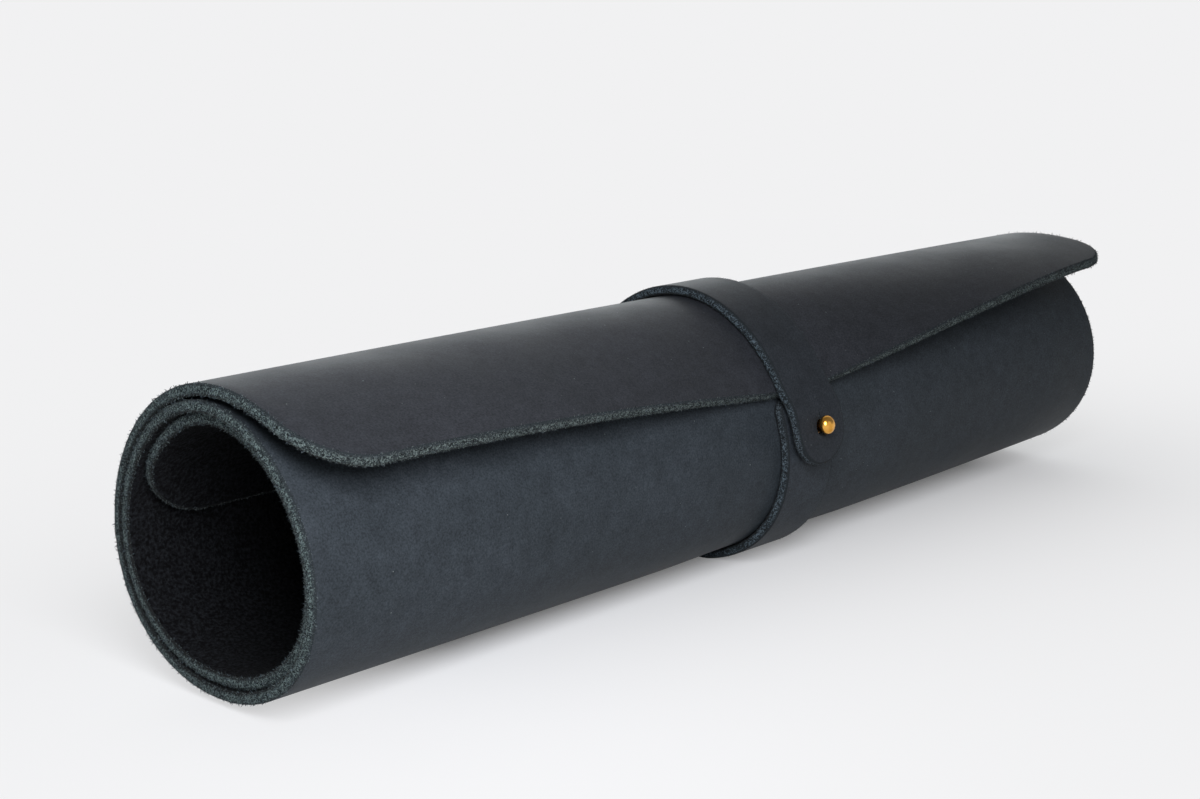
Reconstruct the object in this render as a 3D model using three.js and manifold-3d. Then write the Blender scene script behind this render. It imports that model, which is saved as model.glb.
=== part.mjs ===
// Leather desk pad, rolled up for carrying and held by a strap that buttons on a brass stud.
// Millimetres, +Z up. X runs along the roll, the front with the stud faces -Y, and the strap's
// flat underside rests on z = 0 below the middle of the roll.

import * as THREE from 'three';
import { mergeVertices } from 'three/addons/utils/BufferGeometryUtils.js';
import Module from 'manifold-3d';

const wasm = await Module();
wasm.setup();

const DEG = Math.PI / 180;
const TURN = 2 * Math.PI;

// Pad: one cut sheet of leather with rounded corners
const PAD_LENGTH = 604;
const PAD_WIDTH = 400;
const PAD_THICKNESS = 3.4;
const PAD_CORNER_RADIUS = 21.5;

// Roll: its grain radius at the flap edge, and angles at its axis, measured up from the front
const ROLL_RADIUS = 45.7;
const TURN_GAP = 0.3;
const FLAP_EDGE_ANGLE = 22.8 * DEG;

// Inner turn: it sits a little deeper at one end of the roll, from one count of turns to another
const INNER_RECESS = 2.4;
const RECESS_FROM_TURN = 1.45;
const RECESS_TO_TURN = 1.95;

// Sag: the roll's weight makes its section slightly oval and bellied towards the lower front
const SAG_OVAL = 0.92;
const SAG_BELLY = 0.84;
const SAG_ANGLE = -30 * DEG;

// Flap: the sheet's free end springs open on both sides of the strap, by a lift at each end of
// the roll that is reached the sooner past the strap, the higher the spread
const FLAP_LENGTH = 87;
const NEAR_LIFT = 29.7 * DEG;
const NEAR_SPREAD = 2.05;
const FAR_LIFT = 60 * DEG;
const FAR_SPREAD = 1.33;

// Strap: one strip round the roll, its round-ended tab buttoned over its stud end
const STRAP_WIDTH = 25;
const STRAP_THICKNESS = 3.2;
const STRAP_OFFSET = 6;
const STUD_END_RADIUS = 5;
const STUD_END_DROP = 1.2;
const FOLD_RISE = 2.5;

// Where the strap passes below, it presses the roll in and is flattened by the weight on it
const STRAP_BITE = 1.3;
const BITE_REACH = 22;
const REST_DEPTH = 1;

// Button stud and its screw, both turned brass
const STUD_DROP = 12.3;
const HEAD_DIAMETER = 6.2;
const HEAD_HEIGHT = 5;
const NECK_DIAMETER = 4;
const FLANGE_DIAMETER = 9;
const FLANGE_THICKNESS = 1.4;
const BORE_DEPTH = 4.2;
const SCREW_HEAD_DIAMETER = 8;
const SCREW_HEAD_THICKNESS = 1;
const SCREW_SINK = 0.2;
const SCREW_SHANK_DIAMETER = 2.2;
const SCREW_SLOT_WIDTH = 1;
const SCREW_SLOT_DEPTH = 0.5;

// Buttonhole: as wide as the head needs, drawn out towards the tip, with a slit towards the fold
const HOLE_CLEARANCE = 0.4;
const HOLE_DRAW = 1.4;
const SLIT_LENGTH = 3.2;
const SLIT_WIDTH = 0.8;

// Clearance between pieces that touch
const FIT = 0.3;

// Facets
const WALK_STEP = 0.5 * DEG;
const FLAP_STEP = 1;
const PAD_ROW = 6.5;
const PAD_SIDE_COLUMNS = 8;
const CORNER_STEPS = 7;
const STRAP_ROW = 3;
const TAB_ROW = 2.5;
const TIP_STEPS = 8;
const ROUND_SIDES = 28;
const HEAD_STEPS = 9;

// Finishes
const PAD_LEATHER = { color: 0x2b2f34, roughness: 0.72, metalness: 0 };
const STRAP_LEATHER = { color: 0x27292c, roughness: 0.7, metalness: 0 };
const BRASS = { color: 0xc79a3e, roughness: 0.25, metalness: 1 };

const TURN_PITCH = PAD_THICKNESS + TURN_GAP;
const PAD_HALF = PAD_WIDTH / 2;
const STRAP_HALF = STRAP_WIDTH / 2;

function ease(t) {
  const c = Math.min(Math.max(t, 0), 1);
  return c * c * (3 - 2 * c);
}

// Radius of the pad's grain face at an angle past the flap edge, at a place along the roll
function grainRadius(past, x) {
  const angle = FLAP_EDGE_ANGLE + past;
  const fromBelly = angle - SAG_ANGLE;
  const sag = SAG_OVAL * Math.cos(2 * fromBelly) + SAG_BELLY * Math.cos(3 * fromBelly);
  const underside = Math.max(-Math.sin(angle), 0) ** 4;
  const fromStrap = Math.max(Math.abs(x - STRAP_OFFSET) - STRAP_HALF, 0);
  const bite = STRAP_BITE * underside * Math.exp(-((fromStrap / BITE_REACH) ** 2));
  return ROLL_RADIUS - (TURN_PITCH * past) / TURN + sag - bite;
}

// The roll's axis stands at the height that lays the strap's flat underside on z = 0
const UNDERSIDE = 1.5 * Math.PI - FLAP_EDGE_ANGLE;
const STRAP_STACK = FIT + STRAP_THICKNESS;
const AXIS_HEIGHT = grainRadius(UNDERSIDE, STRAP_OFFSET) + STRAP_STACK - REST_DEPTH;

function polar(radius, angle) {
  return { y: -radius * Math.cos(angle), z: AXIS_HEIGHT + radius * Math.sin(angle) };
}

// A curve round the roll, walked by its length: at(s) gives the point, its outward normal and
// the angle that the curve was drawn with there
function walk(pointAt, from, to) {
  const count = Math.ceil(Math.abs(to - from) / WALK_STEP);
  const angleAt = (i) => from + ((to - from) * i) / count;
  const points = Array.from({ length: count + 1 }, (_, i) => pointAt(angleAt(i)));
  const lengths = [0];
  for (let i = 1; i <= count; i++) {
    const step = Math.hypot(points[i].y - points[i - 1].y, points[i].z - points[i - 1].z);
    lengths.push(lengths[i - 1] + step);
  }
  const at = (s) => {
    let i = 1;
    while (i < count && lengths[i] < s) i++;
    const a = points[i - 1];
    const b = points[i];
    const span = lengths[i] - lengths[i - 1];
    const t = (s - lengths[i - 1]) / span;
    const y = a.y + (b.y - a.y) * t;
    const z = a.z + (b.z - a.z) * t;
    const ny = (b.z - a.z) / span;
    const nz = (a.y - b.y) / span;
    const out = Math.sign(ny * y + nz * (z - AXIS_HEIGHT));
    return { y, z, ny: ny * out, nz: nz * out, angle: angleAt(i - 1 + t) };
  };
  return { length: lengths[count], at };
}

// Half the width of a strip at a distance from an end whose corners have that radius
function halfWidth(width, radius, fromEnd) {
  const inset = Math.max(radius - fromEnd, 0);
  return width / 2 - radius + Math.sqrt(radius * radius - inset * inset);
}

// Distances from an end that follow its rounded corner, from one step of the quarter circle on
function cornerRows(radius, steps, first = 0) {
  const rows = [];
  for (let i = first; i <= steps; i++) {
    rows.push(radius * (1 - Math.cos(((i / steps) * Math.PI) / 2)));
  }
  return rows;
}

// Evenly spaced places between two others, without the two
function between(from, to, step) {
  const count = Math.max(Math.round((to - from) / step), 1);
  return Array.from({ length: count - 1 }, (_, i) => from + ((to - from) * (i + 1)) / count);
}

// A closed sheet of leather from rows along it and columns across it: place(row, column, face)
// gives a point of its grain face (face 1) or of its flesh face (face -1)
function sheet(rows, columns, place) {
  const positions = [];
  const index = [];
  for (const row of rows) {
    for (const column of columns) {
      positions.push(...place(row, column, 1), ...place(row, column, -1));
    }
  }
  const grain = (r, c) => (r * columns.length + c) * 2;
  const flesh = (r, c) => grain(r, c) + 1;
  const quad = (a, b, c, d) => index.push(a, b, c, a, c, d);
  const lastRow = rows.length - 1;
  const lastColumn = columns.length - 1;
  for (let r = 0; r < lastRow; r++) {
    for (let c = 0; c < lastColumn; c++) {
      quad(grain(r, c), grain(r + 1, c), grain(r + 1, c + 1), grain(r, c + 1));
      quad(flesh(r, c), flesh(r, c + 1), flesh(r + 1, c + 1), flesh(r + 1, c));
    }
    quad(grain(r, 0), flesh(r, 0), flesh(r + 1, 0), grain(r + 1, 0));
    quad(grain(r, lastColumn), grain(r + 1, lastColumn), flesh(r + 1, lastColumn), flesh(r, lastColumn));
  }
  for (let c = 0; c < lastColumn; c++) {
    quad(grain(0, c), grain(0, c + 1), flesh(0, c + 1), flesh(0, c));
    quad(grain(lastRow, c), flesh(lastRow, c), flesh(lastRow, c + 1), grain(lastRow, c + 1));
  }
  const geometry = new THREE.BufferGeometry();
  geometry.setAttribute('position', new THREE.Float32BufferAttribute(positions, 3));
  geometry.setIndex(index);
  return facingOut(geometry);
}

// Turns the triangles of a closed geometry round where they face inwards
function facingOut(geometry) {
  const position = geometry.getAttribute('position');
  const index = geometry.getIndex().array;
  const [a, b, c] = [new THREE.Vector3(), new THREE.Vector3(), new THREE.Vector3()];
  let volume = 0;
  for (let i = 0; i < index.length; i += 3) {
    a.fromBufferAttribute(position, index[i]);
    b.fromBufferAttribute(position, index[i + 1]);
    c.fromBufferAttribute(position, index[i + 2]);
    volume += a.dot(b.cross(c));
  }
  for (let i = 0; volume < 0 && i < index.length; i += 3) {
    [index[i + 1], index[i + 2]] = [index[i + 2], index[i + 1]];
  }
  return geometry;
}

// Closed geometry as a solid for cutting, moved by a matrix
function toSolid(geometry, matrix = new THREE.Matrix4()) {
  const bare = geometry.clone().applyMatrix4(matrix);
  bare.deleteAttribute('normal');
  bare.deleteAttribute('uv');
  const merged = mergeVertices(bare);
  const vertProperties = new Float32Array(merged.getAttribute('position').array);
  const triVerts = new Uint32Array(merged.getIndex().array);
  return new wasm.Manifold(new wasm.Mesh({ numProp: 3, vertProperties, triVerts }));
}

function toGeometry(solid) {
  const { vertProperties, triVerts } = solid.getMesh();
  const geometry = new THREE.BufferGeometry();
  geometry.setAttribute('position', new THREE.Float32BufferAttribute(vertProperties, 3));
  geometry.setIndex(new THREE.BufferAttribute(triVerts, 1));
  return geometry;
}

// A round hole's plug along local Y
function plug(diameter, from, to) {
  const geometry = new THREE.CylinderGeometry(diameter / 2, diameter / 2, to - from, ROUND_SIDES);
  return geometry.translate(0, (from + to) / 2, 0);
}

// How far the free edge turns out of the roll at a place across the sheet, none under the strap
function flapLift(across) {
  const fromStrap = Math.abs(across - STRAP_OFFSET) - STRAP_HALF;
  const far = across > STRAP_OFFSET;
  const reach = PAD_HALF - STRAP_HALF + (far ? -STRAP_OFFSET : STRAP_OFFSET);
  const share = Math.min(Math.max(fromStrap / reach, 0), 1);
  const [lift, spread] = far ? [FAR_LIFT, FAR_SPREAD] : [NEAR_LIFT, NEAR_SPREAD];
  return lift * (1 - (1 - share) ** spread);
}

// The middle of the sheet along one line from its flap edge to its inner end. The flap leaves
// the spiral with a turn that grows towards its edge, and the rest lies in the spiral.
function padLine(across) {
  const middle = (past) => polar(grainRadius(past, across) - PAD_THICKNESS / 2, FLAP_EDGE_ANGLE + past);
  const moreThanWound = PAD_LENGTH / (ROLL_RADIUS / 2);
  const spiral = walk(middle, 0, moreThanWound);
  const lift = flapLift(across);
  const count = Math.ceil(FLAP_LENGTH / FLAP_STEP);
  const step = FLAP_LENGTH / count;
  const flap = [spiral.at(FLAP_LENGTH)];
  for (let i = 1; i <= count; i++) {
    const s = FLAP_LENGTH - (i - 0.5) * step;
    const turn = lift * (1 - s / FLAP_LENGTH) ** 2;
    const wound = spiral.at(s);
    const ny = wound.ny * Math.cos(turn) + wound.nz * Math.sin(turn);
    const nz = wound.nz * Math.cos(turn) - wound.ny * Math.sin(turn);
    const last = flap[i - 1];
    flap.push({ y: last.y - nz * step, z: last.z + ny * step, ny, nz, angle: wound.angle });
  }
  return (s) => {
    if (s >= FLAP_LENGTH) return spiral.at(s);
    const place = (FLAP_LENGTH - s) / step;
    const i = Math.min(Math.floor(place), count - 1);
    const mix = (key) => flap[i][key] + (flap[i + 1][key] - flap[i][key]) * (place - i);
    return { y: mix('y'), z: mix('z'), ny: mix('ny'), nz: mix('nz'), angle: mix('angle') };
  };
}

// Rolled pad: rows run from the flap edge to the inner end, columns from the near to the far end
function deskPad() {
  const corner = cornerRows(PAD_CORNER_RADIUS, CORNER_STEPS);
  const inner = corner.map((row) => PAD_LENGTH - row).reverse();
  const straight = between(PAD_CORNER_RADIUS, PAD_LENGTH - PAD_CORNER_RADIUS, PAD_ROW);
  const rows = [...corner, ...straight, ...inner];
  const strapNear = STRAP_OFFSET - STRAP_HALF;
  const strapFar = STRAP_OFFSET + STRAP_HALF;
  const nearColumns = between(-PAD_HALF, strapNear, (strapNear + PAD_HALF) / PAD_SIDE_COLUMNS);
  const farColumns = between(strapFar, PAD_HALF, (PAD_HALF - strapFar) / PAD_SIDE_COLUMNS);
  const columns = [-PAD_HALF, ...nearColumns, strapNear, STRAP_OFFSET, strapFar, ...farColumns, PAD_HALF];
  const lines = new Map();
  const lineAt = (across) => {
    if (!lines.has(across)) lines.set(across, padLine(across));
    return lines.get(across);
  };
  return sheet(rows, columns, (row, column, face) => {
    const fromEnd = Math.min(row, PAD_LENGTH - row);
    const across = (column / PAD_HALF) * halfWidth(PAD_WIDTH, PAD_CORNER_RADIUS, fromEnd);
    const p = lineAt(across)(row);
    const deeper = (p.angle / TURN - RECESS_FROM_TURN) / (RECESS_TO_TURN - RECESS_FROM_TURN);
    const out = (face * PAD_THICKNESS) / 2;
    return [across + INNER_RECESS * ease(deeper), p.y + p.ny * out, p.z + p.nz * out];
  });
}

// Strap

const FOLD_PAST = FOLD_RISE / ROLL_RADIUS;
const STUD_END_PAST = TURN - STUD_END_DROP / ROLL_RADIUS;
const STUD_PAST = TURN - STUD_DROP / ROLL_RADIUS;

// Middle of the strap where it lies on the roll
function bandPoint(past) {
  const radius = grainRadius(past, STRAP_OFFSET) + FIT + STRAP_THICKNESS / 2;
  return polar(radius, FLAP_EDGE_ANGLE + past);
}

// The stud stands square on the strap's grain face: local Y points out of it, local Z to the tip
const toStud = walk(bandPoint, FOLD_PAST, STUD_PAST);
const studSeat = toStud.at(toStud.length);
const studPlace = new THREE.Group();
studPlace.position.set(
  STRAP_OFFSET,
  studSeat.y + (studSeat.ny * STRAP_THICKNESS) / 2,
  studSeat.z + (studSeat.nz * STRAP_THICKNESS) / 2,
);
studPlace.rotation.x = Math.atan2(studSeat.nz, studSeat.ny);
studPlace.updateMatrixWorld();

// Heights above the strap's grain face, at the stud
const FLANGE_TOP = FIT + FLANGE_THICKNESS;
const FLANGE_CROWN = (FLANGE_DIAMETER * FLANGE_DIAMETER) / (8 * ROLL_RADIUS);
const TAB_FLESH = FLANGE_TOP + FLANGE_CROWN + FIT;
const TAB_GRAIN = TAB_FLESH + STRAP_THICKNESS;
const SCREW_SEAT = SCREW_SINK + SCREW_HEAD_THICKNESS - STRAP_THICKNESS;

// Strap from the fold, over the top and the back and under the roll, to its stud end
function strapBand() {
  const path = walk(bandPoint, FOLD_PAST, STUD_END_PAST);
  const start = FIT / 2;
  const corner = cornerRows(STUD_END_RADIUS, CORNER_STEPS).map((row) => path.length - row).reverse();
  const rows = [start, ...between(start, path.length - STUD_END_RADIUS, STRAP_ROW), ...corner];
  const strip = sheet(rows, [-1, 1], (row, side, face) => {
    const p = path.at(row);
    const out = (face * STRAP_THICKNESS) / 2;
    const across = side * halfWidth(STRAP_WIDTH, STUD_END_RADIUS, path.length - row);
    return [STRAP_OFFSET + across, p.y + p.ny * out, Math.max(p.z + p.nz * out, 0)];
  });
  const past = STRAP_THICKNESS;
  const shankHole = plug(SCREW_SHANK_DIAMETER + 2 * FIT, -STRAP_THICKNESS - past, past);
  const headRecess = plug(SCREW_HEAD_DIAMETER + 2 * FIT, -STRAP_THICKNESS - past, SCREW_SEAT + FIT);
  const cuts = toSolid(shankHole, studPlace.matrixWorld).add(toSolid(headRecess, studPlace.matrixWorld));
  return toGeometry(toSolid(strip).subtract(cuts));
}

// Middle of the tab at an angle past the flap edge, negative below it: it leaves the flap and
// rises over the stud's flange
function tabPoint(past) {
  const half = STRAP_THICKNESS / 2;
  const onFlap = grainRadius(past, STRAP_OFFSET) + FIT + half;
  const onStud = grainRadius(past + TURN, STRAP_OFFSET) + FIT + STRAP_THICKNESS + TAB_FLESH + half;
  const risen = STUD_PAST - TURN + FLANGE_DIAMETER / 2 / ROLL_RADIUS;
  const rise = ease((FOLD_PAST - past) / (FOLD_PAST - risen));
  return polar(onFlap + (onStud - onFlap) * rise, FLAP_EDGE_ANGLE + past);
}

// Buttonhole as a solid along the stud's axis
function buttonhole() {
  const radius = HEAD_DIAMETER / 2 + HOLE_CLEARANCE;
  const outline = new THREE.Shape();
  outline.absarc(0, HOLE_DRAW, radius, 0, Math.PI);
  outline.absarc(0, 0, radius, Math.PI, TURN);
  const depth = 3 * STRAP_THICKNESS;
  const settings = { depth, bevelEnabled: false, curveSegments: ROUND_SIDES / 2 };
  const hole = new THREE.ExtrudeGeometry(outline, settings);
  hole.rotateX(Math.PI / 2).translate(0, TAB_GRAIN + STRAP_THICKNESS, 0);
  const slit = new THREE.BoxGeometry(SLIT_WIDTH, depth, radius + SLIT_LENGTH);
  slit.translate(0, TAB_GRAIN + STRAP_THICKNESS - depth / 2, -(radius + SLIT_LENGTH) / 2);
  return toSolid(hole, studPlace.matrixWorld).add(toSolid(slit, studPlace.matrixWorld));
}

// Tab from the fold to its round tip, centred on the stud
function strapTab() {
  const toHole = walk(tabPoint, FOLD_PAST, STUD_PAST - TURN);
  const length = toHole.length + STRAP_HALF;
  const path = walk(tabPoint, FOLD_PAST, STUD_PAST - TURN - STRAP_WIDTH / ROLL_RADIUS);
  const start = FIT / 2;
  const tip = cornerRows(STRAP_HALF, TIP_STEPS, 1).map((row) => length - row).reverse();
  const rows = [start, ...between(start, toHole.length, TAB_ROW), ...tip];
  const strip = sheet(rows, [-1, 1], (row, side, face) => {
    const p = path.at(row);
    const out = (face * STRAP_THICKNESS) / 2;
    const across = side * halfWidth(STRAP_WIDTH, STRAP_HALF, length - row);
    return [STRAP_OFFSET + across, p.y + p.ny * out, p.z + p.nz * out];
  });
  return toGeometry(toSolid(strip).subtract(buttonhole()));
}

// Stud: flange on the strap, neck through the tab, round head, and a bore for the screw
function buttonStud() {
  const headRadius = HEAD_DIAMETER / 2;
  const neckRadius = NECK_DIAMETER / 2;
  const neckTop = TAB_GRAIN + FIT;
  const flare = Math.acos(neckRadius / headRadius);
  const headMiddle = neckTop + (HEAD_HEIGHT / 2) * Math.sin(flare);
  const boreRadius = SCREW_SHANK_DIAMETER / 2 + FIT;
  const profile = [
    new THREE.Vector2(0, FIT + BORE_DEPTH),
    new THREE.Vector2(boreRadius, FIT + BORE_DEPTH),
    new THREE.Vector2(boreRadius, FIT),
    new THREE.Vector2(FLANGE_DIAMETER / 2, FIT),
    new THREE.Vector2(FLANGE_DIAMETER / 2, FLANGE_TOP),
    new THREE.Vector2(neckRadius, FLANGE_TOP),
  ];
  for (let i = 0; i < HEAD_STEPS; i++) {
    const a = -flare + ((flare + Math.PI / 2) * i) / HEAD_STEPS;
    const height = headMiddle + (HEAD_HEIGHT / 2) * Math.sin(a);
    profile.push(new THREE.Vector2(headRadius * Math.cos(a), height));
  }
  profile.push(new THREE.Vector2(0, headMiddle + HEAD_HEIGHT / 2));
  return new THREE.LatheGeometry(profile, ROUND_SIDES);
}

// Screw: flat slotted head sunk in the strap's flesh face, shank up into the stud
function studScrew() {
  const base = SCREW_SINK - STRAP_THICKNESS;
  const profile = [
    new THREE.Vector2(0, base),
    new THREE.Vector2(SCREW_HEAD_DIAMETER / 2, base),
    new THREE.Vector2(SCREW_HEAD_DIAMETER / 2, SCREW_SEAT),
    new THREE.Vector2(SCREW_SHANK_DIAMETER / 2, SCREW_SEAT),
    new THREE.Vector2(SCREW_SHANK_DIAMETER / 2, BORE_DEPTH),
    new THREE.Vector2(0, BORE_DEPTH),
  ];
  const blank = toSolid(new THREE.LatheGeometry(profile, ROUND_SIDES));
  const slot = new THREE.BoxGeometry(2 * SCREW_HEAD_DIAMETER, 2 * SCREW_SLOT_DEPTH, SCREW_SLOT_WIDTH);
  slot.translate(0, base, 0);
  return toGeometry(blank.subtract(toSolid(slot)));
}

function node(name, geometry, finish) {
  const mesh = new THREE.Mesh(geometry, new THREE.MeshStandardMaterial(finish));
  mesh.name = name;
  return mesh;
}

const rolledPad = new THREE.Group();
rolledPad.add(node('desk_pad', deskPad(), PAD_LEATHER));
rolledPad.add(node('strap_band', strapBand(), STRAP_LEATHER));
rolledPad.add(node('strap_tab', strapTab(), STRAP_LEATHER));
studPlace.add(node('button_stud', buttonStud(), BRASS));
studPlace.add(node('stud_screw', studScrew(), BRASS));
rolledPad.add(studPlace);

export default rolledPad;
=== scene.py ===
"""Looks of a leather desk pad, rolled up and held by a strap that buttons on a brass stud.

The forms are written in millimetres, as a leather worker measures them, and become metres when a
mesh is made. X runs along the roll, the stud faces -Y and Z points up from the table.
"""

import logging
import math
from collections.abc import Callable
from dataclasses import dataclass, field
from enum import Enum, IntEnum
from functools import partial

import bmesh
import bpy
import numpy as np
from bpy.types import ID, Material, Mesh, Node, NodeSocket, NodeTree, Object
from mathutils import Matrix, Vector

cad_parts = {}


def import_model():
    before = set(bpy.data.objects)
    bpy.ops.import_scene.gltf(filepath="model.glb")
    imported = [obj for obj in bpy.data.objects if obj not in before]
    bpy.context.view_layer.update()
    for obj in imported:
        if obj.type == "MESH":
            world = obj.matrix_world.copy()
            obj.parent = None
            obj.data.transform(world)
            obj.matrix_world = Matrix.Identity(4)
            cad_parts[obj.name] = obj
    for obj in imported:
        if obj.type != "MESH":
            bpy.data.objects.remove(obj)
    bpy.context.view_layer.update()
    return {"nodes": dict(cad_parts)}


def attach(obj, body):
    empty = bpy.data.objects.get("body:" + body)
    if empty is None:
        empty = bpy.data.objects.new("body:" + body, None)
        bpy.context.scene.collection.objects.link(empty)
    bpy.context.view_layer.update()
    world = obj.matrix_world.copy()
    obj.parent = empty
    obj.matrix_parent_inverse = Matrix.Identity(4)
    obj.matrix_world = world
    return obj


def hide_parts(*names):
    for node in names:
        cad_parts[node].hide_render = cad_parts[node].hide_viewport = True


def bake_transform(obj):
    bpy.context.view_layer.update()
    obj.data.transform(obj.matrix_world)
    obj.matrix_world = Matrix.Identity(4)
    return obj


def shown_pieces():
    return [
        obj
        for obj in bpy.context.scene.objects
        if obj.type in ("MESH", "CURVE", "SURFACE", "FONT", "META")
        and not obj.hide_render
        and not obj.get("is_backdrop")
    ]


MM = 0.001
TURN = 2 * math.pi
SAME_PLACE = 1e-6
IN_LAST_CELL = 1.001
SHARP_EDGE = math.radians(60)
PHOTO_WIDTH_PX = 1200

# Sockets of a colour Mix node, whose names repeat, and the two ways in which it is used
MIX_SHARE = 0
MIX_UNDER = 6
MIX_OVER = 7
MIXED = 2
TINT = {"data_type": "RGBA", "blend_type": "MULTIPLY"}
COVER = {"data_type": "RGBA", "blend_type": "MIX"}

# Sockets of a Random Value node, whose names repeat
FLOAT_MIN = 2
FLOAT_MAX = 3
VECTOR_VALUE = 0
FLOAT_VALUE = 1

log = logging.getLogger("desk_pad")


class Face(IntEnum):
    """Sides of a piece of leather, which are also its material slots."""

    GRAIN = 0
    CUT = 1
    FLESH = 2


class Body(Enum):
    """Bodies of the frame that pieces ride on."""

    ROLL = "roll"
    TAB = "tab"


class Slot(Enum):
    """Material slots of the record."""

    PAD = "pad_leather"
    STRAP = "strap_leather"
    BRASS = "brass"


# Small helpers


def ease(t: np.ndarray) -> np.ndarray:
    """Smooth step from 0 to 1.

    Args:
        t: Places, of which only those between 0 and 1 are on the slope.

    Returns:
        The eased values.
    """
    c = np.clip(t, 0, 1)
    return c * c * (3 - 2 * c)


def border(grid: np.ndarray) -> np.ndarray:
    """Values on the outline of a grid of rows and columns, once round it."""
    return np.concatenate([grid[0, :], grid[1:, -1], grid[-1, -2::-1], grid[-2:0:-1, 0]])


def linear(colour: str) -> tuple[float, float, float, float]:
    """Turns an sRGB hex colour into linear light.

    Args:
        colour: Six hex digits after a hash sign.

    Returns:
        Red, green, blue and an alpha of one.
    """
    parts = [int(colour[i : i + 2], 16) / 255 for i in (1, 3, 5)]
    light = [c / 12.92 if c <= 0.04045 else ((c + 0.055) / 1.055) ** 2.4 for c in parts]
    return (*light, 1.0)


def per_metre(size_mm: float) -> float:
    """Scale of a texture whose features are that many millimetres across."""
    return 1 / (size_mm * MM)


def add_object(name: str, data: ID) -> Object:
    """Makes an object and puts it in the scene.

    Args:
        name: The object's name.
        data: Its mesh, lamp or camera.

    Returns:
        The object.
    """
    obj = bpy.data.objects.new(name, data)
    bpy.context.scene.collection.objects.link(obj)
    return obj


def close_mesh(mesh: Mesh, merge: bool = False) -> None:
    """Turns a mesh's faces outwards and shades it smooth.

    Args:
        mesh: The mesh.
        merge: Whether points at the same place become one first.
    """
    work = bmesh.new()
    work.from_mesh(mesh)
    if merge:
        bmesh.ops.remove_doubles(work, verts=work.verts, dist=SAME_PLACE)
    bmesh.ops.recalc_face_normals(work, faces=work.faces)
    work.to_mesh(mesh)
    work.free()
    mesh.shade_smooth()


def feed(tree: NodeTree, node: Node, inputs: dict) -> None:
    """Sets or links a node's inputs.

    Args:
        tree: The node's tree.
        node: The node.
        inputs: By name or number, a value or the output socket that feeds the input.
    """
    for key, given in inputs.items():
        if isinstance(given, NodeSocket):
            tree.links.new(given, node.inputs[key])
        else:
            node.inputs[key].default_value = given


def add_node(tree: NodeTree, kind: str, inputs: dict | None = None,
             stops: tuple[tuple[float, str], ...] = (), **settings: object) -> Node:
    """Adds a node to a tree.

    Args:
        tree: Tree of a material, a world or a geometry group.
        kind: Blender's name for the node's type.
        inputs: What the inputs hold, as feed takes it.
        stops: Places and hex colours of a colour ramp.
        settings: The node's own properties.

    Returns:
        The new node.
    """
    node = tree.nodes.new(kind)
    for key, value in settings.items():
        setattr(node, key, value)
    feed(tree, node, inputs or {})
    for number, (place, colour) in enumerate(stops):
        elements = node.color_ramp.elements
        if number == len(elements):
            elements.new(1.0)
        elements[number].position = place
        elements[number].color = linear(colour)
    return node


def near_end(tree: NodeTree, from_mm: float, to_mm: float) -> NodeSocket:
    """How near a place is to a free end of its piece of leather.

    Args:
        tree: The material's tree.
        from_mm: Distance from the end up to which the value is one.
        to_mm: Distance from which it is none.

    Returns:
        The value.
    """
    away = add_node(tree, "ShaderNodeAttribute", attribute_name="from_end").outputs["Fac"]
    share = add_node(tree, "ShaderNodeMapRange", {"Value": away, "From Min": from_mm * MM,
                     "From Max": to_mm * MM, "To Min": 1.0, "To Max": 0.0}, interpolation_type="SMOOTHSTEP")
    return share.outputs["Result"]


# Finishes


@dataclass(frozen=True)
class Finish:
    """What a surface is made of and how it was worked."""

    name: str

    def material(self) -> Material:
        """Builds the material.

        Returns:
            The material, with one principled shader that the finish has wired.
        """
        material = bpy.data.materials.new(self.name)
        material.use_nodes = True
        tree = material.node_tree
        tree.nodes.clear()
        shader = add_node(tree, "ShaderNodeBsdfPrincipled")
        add_node(tree, "ShaderNodeOutputMaterial", {"Surface": shader.outputs["BSDF"]})
        self.shade(tree, shader, add_node(tree, "ShaderNodeTexCoord").outputs["Object"])
        return material

    def shade(self, tree: NodeTree, shader: Node, place: NodeSocket) -> None:
        """Wires the shader.

        Args:
            tree: The material's tree.
            shader: Its principled shader.
            place: Places in the piece's own space.
        """
        raise NotImplementedError


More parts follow.
